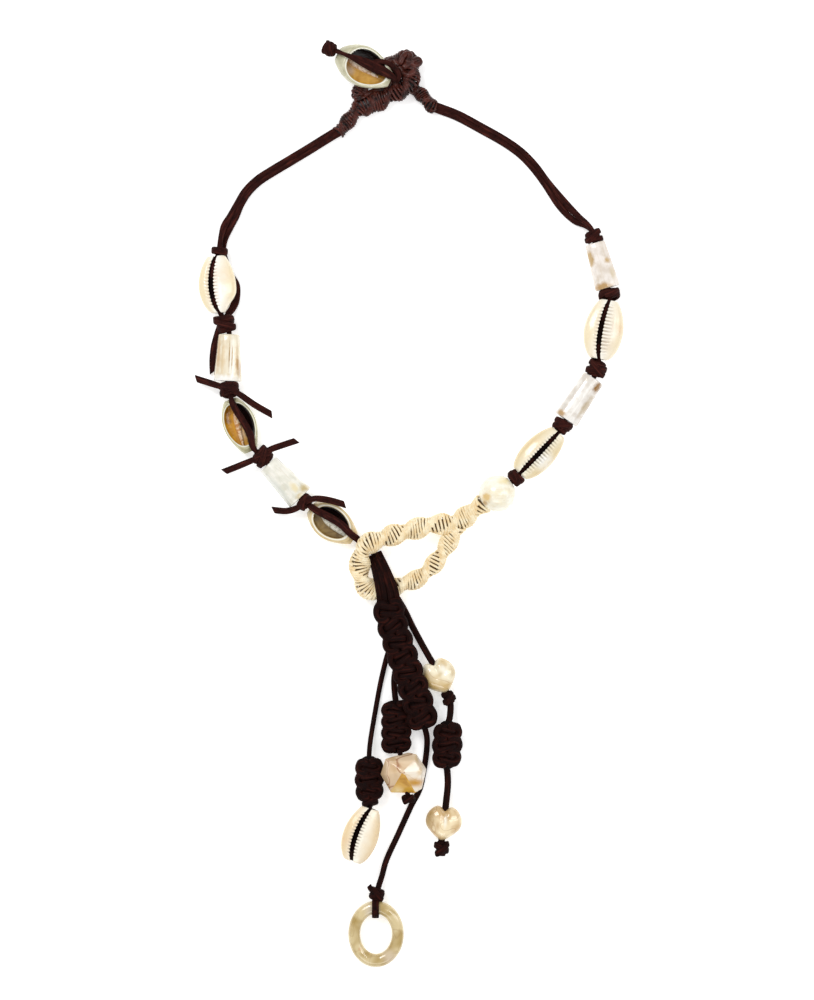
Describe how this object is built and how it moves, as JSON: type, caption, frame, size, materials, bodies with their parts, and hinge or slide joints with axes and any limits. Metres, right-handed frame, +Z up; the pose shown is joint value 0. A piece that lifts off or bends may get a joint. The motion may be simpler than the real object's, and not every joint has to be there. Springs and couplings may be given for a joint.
{
  "type": "shell tassel necklace",
  "caption": "Brown leather lace necklace with cowrie shells, white tube beads, a cream corded loop and a long tassel of braids, hearts, shell and ring.",
  "frame": {"origin": "on the table, under the middle of the box around the necklace as it lies", "axes": "+Z up from the table; +Y from the tassel's ring towards the clasp; +X towards the round bead"},
  "size_m": [0.1624, 0.3514, 0.0141],
  "materials": {
    "brown_lace": "soft suede",
    "brown_braid": "matte",
    "brown_waxed_cord": "waxed",
    "cream_cord": "waxed",
    "cowrie_shell": "polished",
    "white_bead": "pearly",
    "honey_bead": "polished"
  },
  "bodies": {
    "root": {"toggle_knot": "brown_lace", "toggle_shell": "cowrie_shell", "toggle_cord": "brown_lace", "clasp_loop": "brown_waxed_cord", "clasp_sleeve": "brown_waxed_cord", "lace_left": "brown_lace", "lace_left_second": "brown_lace", "knot_l1": "brown_lace", "cowrie_l1": "cowrie_shell", "knot_l2": "brown_lace", "tube_l1": "white_bead", "knot_l3": "brown_lace", "cowrie_l2": "cowrie_shell", "knot_l4": "brown_lace", "tube_l2": "white_bead", "knot_l5": "brown_lace", "cowrie_l3": "cowrie_shell", "lace_right": "brown_lace", "lace_right_second": "brown_lace", "knot_r1": "brown_lace", "tube_r1": "white_bead", "knot_r2": "brown_lace", "cowrie_r1": "cowrie_shell", "knot_r3": "brown_lace", "tube_r2": "white_bead", "knot_r4": "brown_lace", "cowrie_r2": "cowrie_shell", "knot_r5": "brown_lace", "round_bead": "white_bead", "cream_loop": "cream_cord", "tassel_head": "brown_lace", "braid_long": "brown_braid", "strand_ring": "brown_lace", "knot_ring": "brown_lace", "ring": "honey_bead", "strand_left": "brown_lace", "barrel_left": "brown_braid", "knot_left": "brown_lace", "cowrie_tassel": "cowrie_shell", "strand_short": "brown_lace", "braid_short": "brown_braid", "bead_thread": "brown_lace", "faceted_bead": "honey_bead", "knot_bead": "brown_lace", "strand_right": "brown_lace", "heart_upper": "honey_bead", "knot_heart": "brown_lace", "barrel_right": "brown_braid", "heart_lower": "honey_bead", "knot_end": "brown_lace"}
  },
  "joints": []
}
